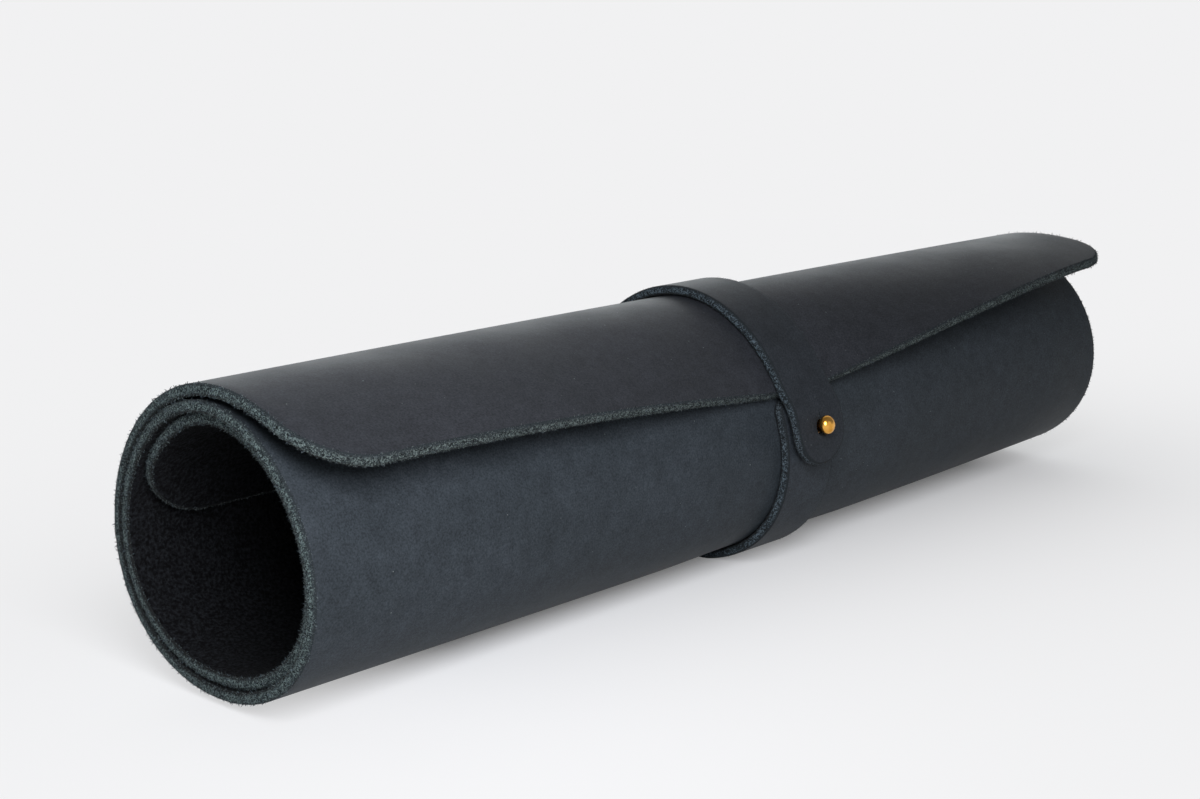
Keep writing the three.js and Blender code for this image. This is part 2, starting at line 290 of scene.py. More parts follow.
@dataclass(frozen=True)
class GrainLeather(Finish):
    """Waxed full-grain cowhide.

    The wax makes it matt with a soft sheen at a glance, and the dye lies in clouds. Its pores and
    mottle are drawn coarser than real ones, so that they show at all. Near its free ends it is
    darker and less blue.
    """

    tone: str
    deep_tone: str
    end_tone: str | None = None
    end_from_mm: float = 45.0
    end_to_mm: float = 120.0
    dust_tone: str = "#8d9494"
    crease_hollow_tone: str = "#d8d8d8"
    mottle_tone: str = "#bcbcbc"
    mottle_mm: float = 0.55
    pore_mm: float = 0.8
    pore_depth_mm: float = 0.05
    crease_mm: float = 5.0
    crease_depth_mm: float = 0.25
    cloud_mm: float = 34.0
    dust_mm: float = 3.6
    dust_radius_mm: float = 0.22
    roughness: float = 0.56
    roughness_spread: tuple[float, float] = (0.05, 0.06)

    def shade(self, tree: NodeTree, shader: Node, place: NodeSocket) -> None:
        """Wires clouded dye, mottle, darker free ends, dust specks, pores, and soft creases darker in their
        hollows.

        Args:
            tree: The material's tree.
            shader: Its principled shader.
            place: Places in the piece's own space.
        """
        cloud = add_node(tree, "ShaderNodeTexNoise", {"Scale": per_metre(self.cloud_mm), "Detail": 4.0,
                         "Roughness": 0.6, "Vector": place}).outputs["Fac"]
        crease_height = add_node(tree, "ShaderNodeTexNoise", {"Scale": per_metre(self.crease_mm), "Detail": 6.0,
                          "Roughness": 0.65, "Vector": place}).outputs["Fac"]
        mottle = add_node(tree, "ShaderNodeTexNoise", {"Scale": per_metre(self.mottle_mm), "Detail": 3.0,
                          "Roughness": 0.6, "Vector": place}).outputs["Fac"]
        hide = add_node(tree, "ShaderNodeValToRGB", {"Fac": cloud},
                        ((0.3, self.deep_tone), (0.72, self.tone))).outputs["Color"]
        # Darker in the hollows of the soft creases: the same pattern gives the crease bump its height.
        for pattern, low, high, tone in ((crease_height, 0.3, 0.75, self.crease_hollow_tone),
                                         (mottle, 0.34, 0.66, self.mottle_tone)):
            worn = add_node(tree, "ShaderNodeValToRGB", {"Fac": pattern}, ((low, tone), (high, "#ffffff")))
            hide = add_node(tree, "ShaderNodeMix", {MIX_SHARE: 1.0, MIX_UNDER: hide,
                            MIX_OVER: worn.outputs["Color"]}, **TINT).outputs[MIXED]
        # Darker and less blue near the free ends.
        if self.end_tone:
            end_share = near_end(tree, self.end_from_mm, self.end_to_mm)
            hide = add_node(tree, "ShaderNodeMix", {MIX_SHARE: end_share, MIX_UNDER: hide,
                            MIX_OVER: linear(self.end_tone)}, **TINT).outputs[MIXED]
        speck = add_node(tree, "ShaderNodeTexVoronoi", {"Scale": per_metre(self.dust_mm),
                         "Vector": place}).outputs
        chance = add_node(tree, "ShaderNodeSeparateColor", {"Color": speck["Color"]}).outputs["Red"]
        size = add_node(tree, "ShaderNodeMath", {0: chance, 1: self.dust_radius_mm / self.dust_mm},
                        operation="MULTIPLY").outputs[0]
        near = add_node(tree, "ShaderNodeMapRange", {"Value": speck["Distance"], "From Min": 0.0,
                        "From Max": size, "To Min": 1.0, "To Max": 0.0}).outputs["Result"]
        hide = add_node(tree, "ShaderNodeMix", {MIX_SHARE: near, MIX_UNDER: hide,
                        MIX_OVER: linear(self.dust_tone)}, **COVER).outputs[MIXED]
        less, more = self.roughness_spread
        gloss = add_node(tree, "ShaderNodeMapRange", {"Value": cloud, "From Min": 0.3, "From Max": 0.7,
                         "To Min": self.roughness - less, "To Max": self.roughness + more}).outputs["Result"]
        pores = add_node(tree, "ShaderNodeTexVoronoi", {"Scale": per_metre(self.pore_mm), "Vector": place},
                         feature="SMOOTH_F1").outputs["Distance"]
        fine = add_node(tree, "ShaderNodeBump", {"Height": pores, "Strength": 0.22,
                        "Distance": self.pore_depth_mm * MM}).outputs["Normal"]
        soft = add_node(tree, "ShaderNodeBump", {"Height": crease_height, "Normal": fine, "Strength": 0.25,
                        "Distance": self.crease_depth_mm * MM}).outputs["Normal"]
        feed(tree, shader, {"Base Color": hide, "Roughness": gloss, "Normal": soft,
             "Specular IOR Level": 0.09})


@dataclass(frozen=True)
class CutEdge(Finish):
    """Raw cut edge of the hide: a thin dark grain layer over speckled fibre ends, dark at the flesh.

    Near the free ends its fibres are browner and darker.
    """

    grain_tone: str
    shadow_tone: str
    fibre_tone: str
    tip_tone: str
    end_tone: str = "#eae4e2"
    end_to_mm: float = 24.0
    flesh_tone: str = "#131516"
    fibre_mm: float = 0.36
    fibre_depth_mm: float = 0.2
    clump_mm: float = 1.1
    grain_layer: float = 0.14
    grain_blur: tuple[float, float] = (0.1, 0.12)
    flesh_layer: float = 0.82
    flesh_blur: tuple[float, float] = (0.15, 0.1)
    raggedness: float = 0.16

    def shade(self, tree: NodeTree, shader: Node, place: NodeSocket) -> None:
        """Wires the layers of the hide, with ragged borders between them.

        Args:
            tree: The material's tree.
            shader: Its principled shader.
            place: Places in the piece's own space.
        """
        depth = add_node(tree, "ShaderNodeAttribute", attribute_name="cut_depth").outputs["Fac"]
        cell = add_node(tree, "ShaderNodeTexVoronoi", {"Scale": per_metre(self.fibre_mm), "Vector": place})
        end = add_node(tree, "ShaderNodeSeparateColor", {"Color": cell.outputs["Color"]}).outputs["Red"]
        clump = add_node(tree, "ShaderNodeTexNoise", {"Scale": per_metre(self.clump_mm), "Detail": 4.0,
                         "Roughness": 0.7, "Vector": place}).outputs["Fac"]
        speckle = add_node(tree, "ShaderNodeMix", {"Factor": 0.3, "A": end, "B": clump}).outputs["Result"]
        frayed = add_node(tree, "ShaderNodeValToRGB", {"Fac": speckle}, (
            (0.2, self.shadow_tone), (0.5, self.fibre_tone), (0.8, self.tip_tone))).outputs["Color"]
        # Browner and darker near the free ends.
        frayed = add_node(tree, "ShaderNodeMix", {MIX_SHARE: near_end(tree, 0.0, self.end_to_mm),
                          MIX_UNDER: frayed, MIX_OVER: linear(self.end_tone)}, **TINT).outputs[MIXED]
        ragged = add_node(tree, "ShaderNodeMath", {0: clump, 1: self.raggedness, 2: -self.raggedness / 2},
                          operation="MULTIPLY_ADD")
        layer = add_node(tree, "ShaderNodeMath", {0: depth, 1: ragged.outputs[0]},
                         operation="ADD").outputs[0]
        colour = linear(self.grain_tone)
        for middle, (before, after), tone in ((self.grain_layer, self.grain_blur, frayed),
                                              (self.flesh_layer, self.flesh_blur, linear(self.flesh_tone))):
            deeper = add_node(tree, "ShaderNodeMapRange", {"Value": layer, "From Min": middle - before,
                              "From Max": middle + after})
            colour = add_node(tree, "ShaderNodeMix", {MIX_SHARE: deeper.outputs["Result"], MIX_UNDER: colour,
                              MIX_OVER: tone}, **COVER).outputs[MIXED]
        bump = add_node(tree, "ShaderNodeBump", {"Height": speckle, "Strength": 0.8,
                        "Distance": self.fibre_depth_mm * MM}).outputs["Normal"]
        feed(tree, shader, {"Base Color": colour, "Roughness": 0.9, "Normal": bump,
             "Specular IOR Level": 0.2})


@dataclass(frozen=True)
class FleshSuede(Finish):
    """Flesh side of the hide: dyed nearly black, with a short nap that swallows light."""

    tone: str
    tip_tone: str
    nap_mm: float = 1.0
    nap_depth_mm: float = 0.5

    def shade(self, tree: NodeTree, shader: Node, place: NodeSocket) -> None:
        """Wires the nap.

        Args:
            tree: The material's tree.
            shader: Its principled shader.
            place: Places in the piece's own space.
        """
        nap = add_node(tree, "ShaderNodeTexNoise", {"Scale": per_metre(self.nap_mm), "Detail": 4.0,
                       "Roughness": 0.7, "Vector": place}).outputs["Fac"]
        colour = add_node(tree, "ShaderNodeValToRGB", {"Fac": nap},
                          ((0.42, self.tone), (0.66, self.tip_tone))).outputs["Color"]
        bump = add_node(tree, "ShaderNodeBump", {"Height": nap, "Strength": 1.0,
                        "Distance": self.nap_depth_mm * MM}).outputs["Normal"]
        feed(tree, shader, {"Base Color": colour, "Roughness": 1.0, "Normal": bump,
             "Specular IOR Level": 0.1})


@dataclass(frozen=True)
class LooseFibre(Finish):
    """Leather fibres that stand out of a cut edge, dyed like it, paler at random and darker at the ends."""

    tone: str
    pale_tone: str
    end_tone: str = "#eae4e2"
    end_to_mm: float = 24.0
    patch_mm: float = 1.2

    def shade(self, tree: NodeTree, shader: Node, place: NodeSocket) -> None:
        """Wires the patchy dye and the held ends.

        Args:
            tree: The material's tree.
            shader: Its principled shader.
            place: Places in the piece's own space.
        """
        patch = add_node(tree, "ShaderNodeTexNoise", {"Scale": per_metre(self.patch_mm), "Detail": 2.0,
                         "Vector": place}).outputs["Fac"]
        dyed = add_node(tree, "ShaderNodeValToRGB", {"Fac": patch},
                        ((0.4, self.tone), (0.65, self.pale_tone))).outputs["Color"]
        colour = add_node(tree, "ShaderNodeMix", {MIX_SHARE: near_end(tree, 0.0, self.end_to_mm),
                          MIX_UNDER: dyed, MIX_OVER: linear(self.end_tone)}, **TINT).outputs[MIXED]
        feed(tree, shader, {"Base Color": colour, "Roughness": 0.85, "Specular IOR Level": 0.2})


@dataclass(frozen=True)
class TurnedBrass(Finish):
    """Polished turned brass: a warm mirror with faint turning marks and a thin brown film."""

    tone: str
    film_tone: str
    mark_mm: float = 0.25
    mark_depth_mm: float = 0.02
    film_mm: float = 2.4
    roughness: float = 0.24

    def shade(self, tree: NodeTree, shader: Node, place: NodeSocket) -> None:
        """Wires the film and the turning marks.

        Args:
            tree: The material's tree.
            shader: Its principled shader.
            place: Places in the piece's own space.
        """
        film = add_node(tree, "ShaderNodeTexNoise", {"Scale": per_metre(self.film_mm), "Detail": 4.0,
                        "Vector": place}).outputs["Fac"]
        colour = add_node(tree, "ShaderNodeValToRGB", {"Fac": film},
                          ((0.3, self.film_tone), (0.6, self.tone))).outputs["Color"]
        marks = add_node(tree, "ShaderNodeTexNoise", {"Scale": per_metre(self.mark_mm), "Detail": 2.0,
                         "Vector": place}).outputs["Fac"]
        bump = add_node(tree, "ShaderNodeBump", {"Height": marks, "Strength": 0.08,
                        "Distance": self.mark_depth_mm * MM}).outputs["Normal"]
        feed(tree, shader, {"Base Color": colour, "Metallic": 1.0, "Roughness": self.roughness,
             "Normal": bump})


@dataclass(frozen=True)
class WhiteTable(Finish):
    """Matt white table top: lit and shaded round the object, an even backdrop further off.

    The part that is lit lies round a band below the roll. Its sizes are in metres.
    """

    tone: str
    backdrop_tone: str
    band_middle: float = 0.02
    band_half: float = 0.14
    fade_length: float = 0.07
    most_lit: float = 0.95

    def shade(self, tree: NodeTree, shader: Node, place: NodeSocket) -> None:
        """Wires the lit part and the backdrop, which only what is seen or mirrored shows.

        Args:
            tree: The material's tree.
            shader: Its principled shader.
            place: Places on the table.
        """
        feed(tree, shader, {"Base Color": linear(self.tone), "Roughness": 0.9, "Specular IOR Level": 0.1})
        axes = add_node(tree, "ShaderNodeSeparateXYZ", {"Vector": place}).outputs
        beyond = axes["X"]
        for operation, more in (("SUBTRACT", {1: self.band_middle}), ("ABSOLUTE", {}),
                                ("SUBTRACT", {1: self.band_half}), ("MAXIMUM", {1: 0.0})):
            beyond = add_node(tree, "ShaderNodeMath", {0: beyond, **more}, operation=operation).outputs[0]
        away = add_node(tree, "ShaderNodeCombineXYZ", {"X": beyond, "Y": axes["Y"], "Z": 0.0})
        share = add_node(tree, "ShaderNodeVectorMath", {0: away.outputs["Vector"]},
                         operation="LENGTH").outputs["Value"]
        ray = add_node(tree, "ShaderNodeLightPath").outputs
        seen = ray["Is Camera Ray"]
        for mirrored in ("Is Glossy Ray", "Is Transmission Ray"):
            seen = add_node(tree, "ShaderNodeMath", {0: seen, 1: ray[mirrored]},
                            operation="MAXIMUM").outputs[0]
        for operation, more in (("MULTIPLY", {1: -1 / self.fade_length}), ("EXPONENT", {}),
                                ("MULTIPLY_ADD", {1: -self.most_lit, 2: 1.0}), ("MULTIPLY", {1: seen})):
            share = add_node(tree, "ShaderNodeMath", {0: share, **more}, operation=operation).outputs[0]
        even = add_node(tree, "ShaderNodeEmission", {"Color": linear(self.backdrop_tone), "Strength": 1.0})
        both = add_node(tree, "ShaderNodeMixShader", {0: share, 1: shader.outputs["BSDF"],
                        2: even.outputs[0]})
        feed(tree, tree.get_output_node("ALL"), {"Surface": both.outputs[0]})


# Leather laid flat


class FlatLeather:
    """Leather laid flat: points as across, along and height, with faces and their sides."""

    def __init__(self, last_end: float) -> None:
        """Starts empty.

        Args:
            last_end: Where along it the last free end is. The first is at 0.
        """
        self.last_end = last_end
        self.points: list[np.ndarray] = []
        self.count = 0
        self.faces: list[tuple[int, ...]] = []
        self.sides: list[int] = []

    def add(self, across: np.ndarray, along: np.ndarray, height: float) -> np.ndarray:
        """Adds points.

        Args:
            across: Places across the leather.
            along: Places along it, in the same shape.
            height: Their height over its middle.

        Returns:
            The points' numbers, in the same shape.
        """
        shape = np.shape(across)
        flat = np.stack([across, along, np.broadcast_to(height, shape)], axis=-1).reshape(-1, 3)
        numbers = np.arange(self.count, self.count + len(flat)).reshape(shape)
        self.points.append(flat)
        self.count += len(flat)
        return numbers

    def face(self, numbers: list, side: Face) -> None:
        """Adds one face.

        Args:
            numbers: Its points' numbers in order, of which those that repeat are dropped.
            side: Side of the leather.
        """
        kept = list(dict.fromkeys(int(n) for n in numbers))
        if len(kept) > 2:
            self.faces.append(tuple(kept))
            self.sides.append(int(side))

    def cover(self, grid: np.ndarray, side: Face, hole: tuple[slice, slice] | None = None) -> None:
        """Covers a grid of points with faces.

        Args:
            grid: Point numbers by row and column.
            side: Side of the leather.
            hole: Rows and columns of cells that stay open.
        """
        cells = np.ones((grid.shape[0] - 1, grid.shape[1] - 1), bool)
        if hole is not None:
            cells[hole] = False
        for r, c in zip(*np.nonzero(cells)):
            self.face([grid[r, c], grid[r + 1, c], grid[r + 1, c + 1], grid[r, c + 1]], side)

    def bridge(self, first: np.ndarray, second: np.ndarray, side: Face) -> None:
        """Joins two closed loops with a band of faces.

        Args:
            first: Point numbers of one loop.
            second: Point numbers of the other, as many.
            side: Side of the leather.
        """
        for i in range(len(first)):
            j = (i + 1) % len(first)
            self.face([first[i], first[j], second[j], second[i]], side)

    def build(self, name: str, thickness: float, place: Callable) -> Object:
        """Makes the object, with each point where the leather lies in the frame.

        Args:
            name: The object's name.
            thickness: Thickness of the leather, in millimetres.
            place: Maps across, along and height to x, y and z, all in millimetres.

        Returns:
            The object, with the attributes that the finishes read.
        """
        flat = np.concatenate(self.points)
        mesh = bpy.data.meshes.new(name)
        mesh.from_pydata((place(*flat.T) * MM).tolist(), [], self.faces)
        mesh.polygons.foreach_set("material_index", np.array(self.sides, np.int32))
        depth = mesh.attributes.new("cut_depth", "FLOAT", "POINT")
        depth.data.foreach_set("value", (0.5 - flat[:, 2] / thickness).astype(np.float32))
        away = mesh.attributes.new("from_end", "FLOAT", "POINT")
        from_end = np.minimum(flat[:, 1], self.last_end - flat[:, 1])
        away.data.foreach_set("value", (from_end * MM).astype(np.float32))
        cut = mesh.attributes.new("is_cut", "BOOLEAN", "FACE")
        cut.data.foreach_set("value", np.array(self.sides) == int(Face.CUT))
        close_mesh(mesh)
        mesh.set_sharp_from_angle(angle=SHARP_EDGE)
        return add_object(name, mesh)


@dataclass
class Buttonhole:
    """Round hole with a slit, punched through the tab."""

    middle: float
    radius: float = 2.65
    slit_length: float = 3.1
    slit_width: float = 0.7
    rounding: float = 0.3
    margin: float = 3.6
    rings: int = 5

    def outline(self, across: np.ndarray, along: np.ndarray, grow: float) -> tuple[np.ndarray, np.ndarray]:
        """Points of the hole's outline in the directions of the points round it.

        Args:
            across: Places across, from the hole's middle.
            along: Places along, from the hole's middle, positive towards the fold.
            grow: How far the outline stands outside the hole.

        Returns:
            Places across and along.
        """
        reach = np.hypot(across, along)
        size = self.radius + grow
        edge_across = across / reach * size
        edge_along = along / reach * size
        tip = int(np.argmin(np.where(along > 0, np.abs(across), np.inf)))
        edge_across[tip] = 0.0
        edge_along[tip] = size + self.slit_length
        for beside in (tip - 1, (tip + 1) % len(across)):
            edge_across[beside] = math.copysign(self.slit_width / 2 + grow / 2, across[beside])
            edge_along[beside] = math.sqrt(size**2 - edge_across[beside] ** 2)
        return edge_across, edge_along


@dataclass
class CutPiece:
    """A strip cut from a hide: a grid on each face and a rounded, slightly uneven rim."""

    width: float
    length: float
    thickness: float
    start_corner: float
    end_corner: float
    row_step: float
    column_step: float
    corner_steps: int = 16
    round_steps: int = 5
    grain_round: float = 0.85
    flesh_round: float = 0.8
    side_slant: float = 0.2
    end_slant: float = 0.5
    bulge: float = 0.1
    unevenness: float = 0.13
    end_is_cut: bool = True
    seed: int = 3
    waves_mm: tuple[float, ...] = (5.3, 8.9, 17.0)
    wave_lean: float = 1.5
    hole_steps: int = 4

    def rows(self, side_inset: float, end_inset: float) -> tuple[np.ndarray, np.ndarray]:
        """Rows along the strip, drawn in from its outline.

        Args:
            side_inset: Distance from the outline at the sides.
            end_inset: Distance from the outline at the ends.

        Returns:
            Each row's place along the strip and half its width.
        """
        first = 1 if self.start_corner >= self.width / 2 else 0
        at_start = np.arange(first, self.corner_steps + 1) / self.corner_steps * math.pi / 2
        at_end = np.arange(self.corner_steps, -1, -1) / self.corner_steps * math.pi / 2
        start = self.start_corner - (self.start_corner - end_inset) * np.cos(at_start)
        start_half = self.width / 2 - self.start_corner + (self.start_corner - side_inset) * np.sin(at_start)
        straight_end = self.length - self.end_corner
        count = max(round((straight_end - self.start_corner) / self.row_step), 2)
        straight = np.linspace(self.start_corner, straight_end, count + 1)[1:-1]
        straight_half = np.full(len(straight), self.width / 2 - side_inset)
        if self.end_corner > 0:
            end = self.length - self.end_corner + (self.end_corner - end_inset) * np.cos(at_end)
            end_half = self.width / 2 - self.end_corner + (self.end_corner - side_inset) * np.sin(at_end)
        else:
            end = np.array([self.length])
            end_half = np.array([self.width / 2 - side_inset])
        return np.concatenate([start, straight, end]), np.concatenate([start_half, straight_half, end_half])

    def rim(self) -> list[tuple[float, float, float]]:
        """Section of the rim, from the grain face to the flesh face.

        Returns:
            Inset at the sides, inset at the ends, and height.
        """
        half = self.thickness / 2
        turns = np.linspace(0, math.pi / 2, self.round_steps)
        section = []
        for a in turns:
            corner = self.grain_round * (1 - math.sin(a))
            height = half - self.grain_round * (1 - math.cos(a))
            section.append((self.side_slant + corner, self.end_slant + corner, height))
        high = half - self.grain_round
        low = self.flesh_round - half
        for t in (0.25, 0.5, 0.75):
            proud = self.bulge * math.sin(math.pi * t)
            height = high + (low - high) * t
            section.append((self.side_slant * (1 - t) - proud, self.end_slant * (1 - t) - proud, height))
        for a in turns[::-1]:
            corner = self.flesh_round * (1 - math.sin(a))
            section.append((corner, corner, self.flesh_round * (1 - math.cos(a)) - half))
        return section

    def grid(self, side_inset: float, end_inset: float) -> tuple[np.ndarray, np.ndarray]:
        """Points all over the strip, drawn in from its outline.

        Args:
            side_inset: Distance from the outline at the sides.
            end_inset: Distance from the outline at the ends.

        Returns:
            Places across and along, by row and column.
        """
        columns = np.linspace(-1, 1, round(self.width / self.column_step) + 1)
        along, half = self.rows(side_inset, end_inset)
        return np.outer(half, columns), np.repeat(along[:, None], len(columns), axis=1)

    def flat(self, hole: Buttonhole | None = None) -> FlatLeather:
        """Lays the piece flat.

        Args:
            hole: Buttonhole on the strip's middle line, if it has one.

        Returns:
            The flat leather.
        """
        leather = FlatLeather(self.length if self.end_is_cut else 2 * self.length)
        section = self.rim()
        faces = {}
        for side, (side_inset, end_inset, height) in ((Face.GRAIN, section[0]), (Face.FLESH, section[-1])):
            across, along = self.grid(side_inset, end_inset)
            faces[side] = (leather.add(across, along, height), across, along)
        loops = [border(faces[Face.GRAIN][0])]
        for side_inset, end_inset, height in section[1:-1]:
            across, along = self.grid(side_inset, end_inset)
            loop_across, loop_along = self.stray(border(across), border(along), height)
            loops.append(leather.add(loop_across, loop_along, height))
        loops.append(border(faces[Face.FLESH][0]))
        for first, second in zip(loops, loops[1:]):
            leather.bridge(first, second, Face.CUT)
        rings = {}
        for side, (numbers, across, along) in faces.items():
            cells = None
            if hole is not None:
                cells, rings[side], round_hole = self.punch(leather, side, numbers, across, along, hole)
            leather.cover(numbers, side, cells)
        if hole is not None:
            self.line_hole(leather, hole, rings, round_hole)
        return leather

    def stray(self, across: np.ndarray, along: np.ndarray, height: float) -> tuple[np.ndarray, np.ndarray]:
        """Lets a line of the rim stray a little from the outline, as a hand-held blade does.

        Args:
            across: Places across the strip, once round the rim.
            along: Places along it.
            height: The line's height in the leather's thickness.

        Returns:
            The strayed places across and along.
        """
        step_across = np.roll(across, -1) - np.roll(across, 1)
        step_along = np.roll(along, -1) - np.roll(along, 1)
        step = np.maximum(np.hypot(step_across, step_along), SAME_PLACE)
        walked = np.cumsum(step) / 2
        chance = np.random.default_rng(self.seed)
        waves = np.zeros(len(across))
        for wave_mm in self.waves_mm:
            phase = chance.uniform(0, TURN)
            waves += np.sin(walked * TURN / wave_mm + phase + self.wave_lean * height)
        out = self.unevenness * math.cos(math.pi * height / self.thickness) * waves / 2
        if not self.end_is_cut:
            out = np.where(along > self.length - 1, 0, out)
        return across + out * step_along / step, along - out * step_across / step

    def punch(self, leather: FlatLeather, side: Face, numbers: np.ndarray, across: np.ndarray,
              along: np.ndarray, hole: Buttonhole) -> tuple:
        """Opens a face round the buttonhole and fills it in with rings of faces.

        Args:
            leather: The flat leather.
            side: Which face.
            numbers: The face's points by row and column.
            across: Their places across.
            along: Their places along.
            hole: The buttonhole.

        Returns:
            The cells that the rings take, the ring at the hole, and the places across and along, from
            the hole's middle, of the points that the rings start from.
        """
        reach = hole.radius + hole.margin
        first_row = int(np.searchsorted(along[:, 0], hole.middle - reach))
        last_row = int(np.searchsorted(along[:, 0], hole.middle + reach + hole.slit_length))
        centre = across.shape[1] // 2
        wide = round(reach / self.column_step)
        window = (slice(first_row, last_row + 1), slice(centre - wide, centre + wide + 1))
        outer = border(numbers[window])
        from_across, from_along = border(across[window]), border(along[window]) - hole.middle
        edge_across, edge_along = hole.outline(from_across, from_along, hole.rounding)
        height = self.thickness / 2 if side is Face.GRAIN else -self.thickness / 2
        for i in range(1, hole.rings + 1):
            t = i / hole.rings
            ring = leather.add(from_across + (edge_across - from_across) * t,
                               hole.middle + from_along + (edge_along - from_along) * t, height)
            leather.bridge(outer, ring, side)
            outer = ring
        cells = (slice(first_row, last_row), slice(centre - wide, centre + wide))
        return cells, outer, (from_across, from_along)

    def line_hole(self, leather: FlatLeather, hole: Buttonhole, rings: dict[Face, np.ndarray],
                  round_hole: tuple[np.ndarray, np.ndarray]) -> None:
        """Lines the buttonhole with its cut wall.

        Args:
            leather: The flat leather.
            hole: The buttonhole.
            rings: The ring at the hole on each face.
            round_hole: Places round the hole that its outline's points lie towards.
        """
        edge_across, edge_along = hole.outline(*round_hole, 0.0)
        half = self.thickness / 2 - hole.rounding
        last = rings[Face.GRAIN]
        for height in np.linspace(half, -half, self.hole_steps):
            ring = leather.add(edge_across, hole.middle + edge_along, height)
            leather.bridge(last, ring, Face.CUT)
            last = ring
        leather.bridge(last, rings[Face.FLESH], Face.CUT)


# Forms that the leather lies in


@dataclass
class StrapSize:
    """Sizes of the strap and of what holds it."""

    width: float = 25.0
    thickness: float = 3.2
    offset: float = 6.0
    bite: float = 1.3
    bite_reach: float = 22.0
    rest_depth: float = 1.0
    fit: float = 0.3
    fold_rise: float = 2.5
    stud_end_drop: float = 1.2
    stud_end_corner: float = 5.0
    stud_drop: float = 12.3
    flange_diameter: float = 9.0
    flange_thickness: float = 1.4


@dataclass
class Roll:
    """The wound sheet: a spiral that sags a little, with a flap that springs open."""

    strap: StrapSize
    length: float = 604.0
    width: float = 400.0
    thickness: float = 3.4
    corner: float = 21.5
    radius: float = 45.7
    turn_gap: float = 0.3
    flap_angle: float = math.radians(22.8)
    inner_recess: float = 2.4
    recess_from_turn: float = 1.45
    recess_to_turn: float = 1.95
    sag_oval: float = 0.92
    sag_belly: float = 0.84
    sag_angle: float = math.radians(-30)
    near_oval: float = 0.63
    near_oval_angle: float = math.radians(22)
    far_oval: float = 2.65
    far_oval_angle: float = math.radians(35.4)
    oval_power: float = 1.5
    flap_length: float = 87.0
    near_lift: float = math.radians(29.4)
    near_spread: float = 2.18
    far_lift: float = math.radians(54.8)
    far_spread: float = 1.66
    line_step: float = 2.0
    along_step: float = 0.5
    angle_step: float = math.radians(0.25)
    axis_height: float = field(init=False)
    lines: np.ndarray = field(init=False)

    def __post_init__(self) -> None:
        """Sets the roll on the strap, and the strap on the table."""
        below = 1.5 * math.pi - self.flap_angle
        stack = self.strap.fit + self.strap.thickness - self.strap.rest_depth
        self.axis_height = float(self.grain_radius(below, self.strap.offset)) + stack
        self.lines = self.wind()

    def grain_radius(self, past: np.ndarray | float, x: float) -> np.ndarray:
        """Radius of the grain face.

        Args:
            past: Angle wound past the flap's edge.
            x: Place along the roll.

        Returns:
            The distance from the roll's axis.
        """
        angle = self.flap_angle + np.asarray(past, float)
        belly = angle - self.sag_angle
        sag = self.sag_oval * np.cos(2 * belly) + self.sag_belly * np.cos(3 * belly)
        underside = np.maximum(-np.sin(angle), 0) ** 4
        from_strap = np.maximum(np.abs(x - self.strap.offset) - self.strap.width / 2, 0)
        bite = self.strap.bite * underside * np.exp(-((from_strap / self.strap.bite_reach) ** 2))
        far = x > self.strap.offset
        oval = self.far_oval if far else self.near_oval
        oval_angle = self.far_oval_angle if far else self.near_oval_angle
        relaxed = oval * self.strap_share(x) ** self.oval_power * np.cos(2 * (angle - oval_angle))
        pitch = self.thickness + self.turn_gap
        return self.radius - pitch * np.asarray(past) / TURN + sag - bite + relaxed

    def polar(self, radius: np.ndarray, past: np.ndarray) -> tuple[np.ndarray, np.ndarray]:
        """Y and z of a radius at an angle past the flap's edge."""
        angle = self.flap_angle + past
        return -radius * np.cos(angle), self.axis_height + radius * np.sin(angle)

    def strap_share(self, across: float) -> float:
        """How far a place is from the strap.

        Args:
            across: Place across the sheet.

        Returns:
            0 at the strap's side, 1 at the roll's end.
        """
        from_strap = abs(across - self.strap.offset) - self.strap.width / 2
        middle = -self.strap.offset if across > self.strap.offset else self.strap.offset
        reach = self.width / 2 - self.strap.width / 2 + middle
        return min(max(from_strap / reach, 0), 1)

    def flap_lift(self, across: float) -> float:
        """How far the free edge turns out of the roll.

        Args:
            across: Place across the sheet.

        Returns:
            The angle, which is none under the strap.
        """
        far = across > self.strap.offset
        lift, spread = (self.far_lift, self.far_spread) if far else (self.near_lift, self.near_spread)
        return lift * (1 - (1 - self.strap_share(across)) ** spread)

    def wind(self) -> np.ndarray:
        """Winds the sheet's middle, line by line across it.

        Returns:
            For each line and each place along it: y, z, the normal's y and z, and the angle wound.
        """
        along = np.arange(0, self.length + self.along_step / 2, self.along_step)
        past = np.arange(0, 2 * self.length / self.radius, self.angle_step)
        flap = along <= self.flap_length
        lines = []
        for across in np.arange(-self.width / 2, self.width / 2 + 1, self.line_step):
            y, z = self.polar(self.grain_radius(past, across) - self.thickness / 2, past)
            wound = np.concatenate([[0], np.cumsum(np.hypot(np.diff(y), np.diff(z)))])
            y, z, angle = (np.interp(along, wound, v) for v in (y, z, past))
            slope_y, slope_z = np.gradient(y), np.gradient(z)
            size = np.hypot(slope_y, slope_z)
            normal_y, normal_z = -slope_z / size, slope_y / size
            turn = self.flap_lift(across) * np.maximum(1 - along / self.flap_length, 0) ** 2
            out_y = normal_y * np.cos(turn) + normal_z * np.sin(turn)
            out_z = normal_z * np.cos(turn) - normal_y * np.sin(turn)
            last = int(flap.sum()) - 1
            mean_y = (out_y[1 : last + 1] + out_y[:last]) / 2 * self.along_step
            mean_z = (out_z[1 : last + 1] + out_z[:last]) / 2 * self.along_step
            y[:last] = y[last] - np.cumsum(mean_z[::-1])[::-1]
            z[:last] = z[last] + np.cumsum(mean_y[::-1])[::-1]
            lines.append(np.stack([y, z, out_y, out_z, angle]))
        return np.array(lines)

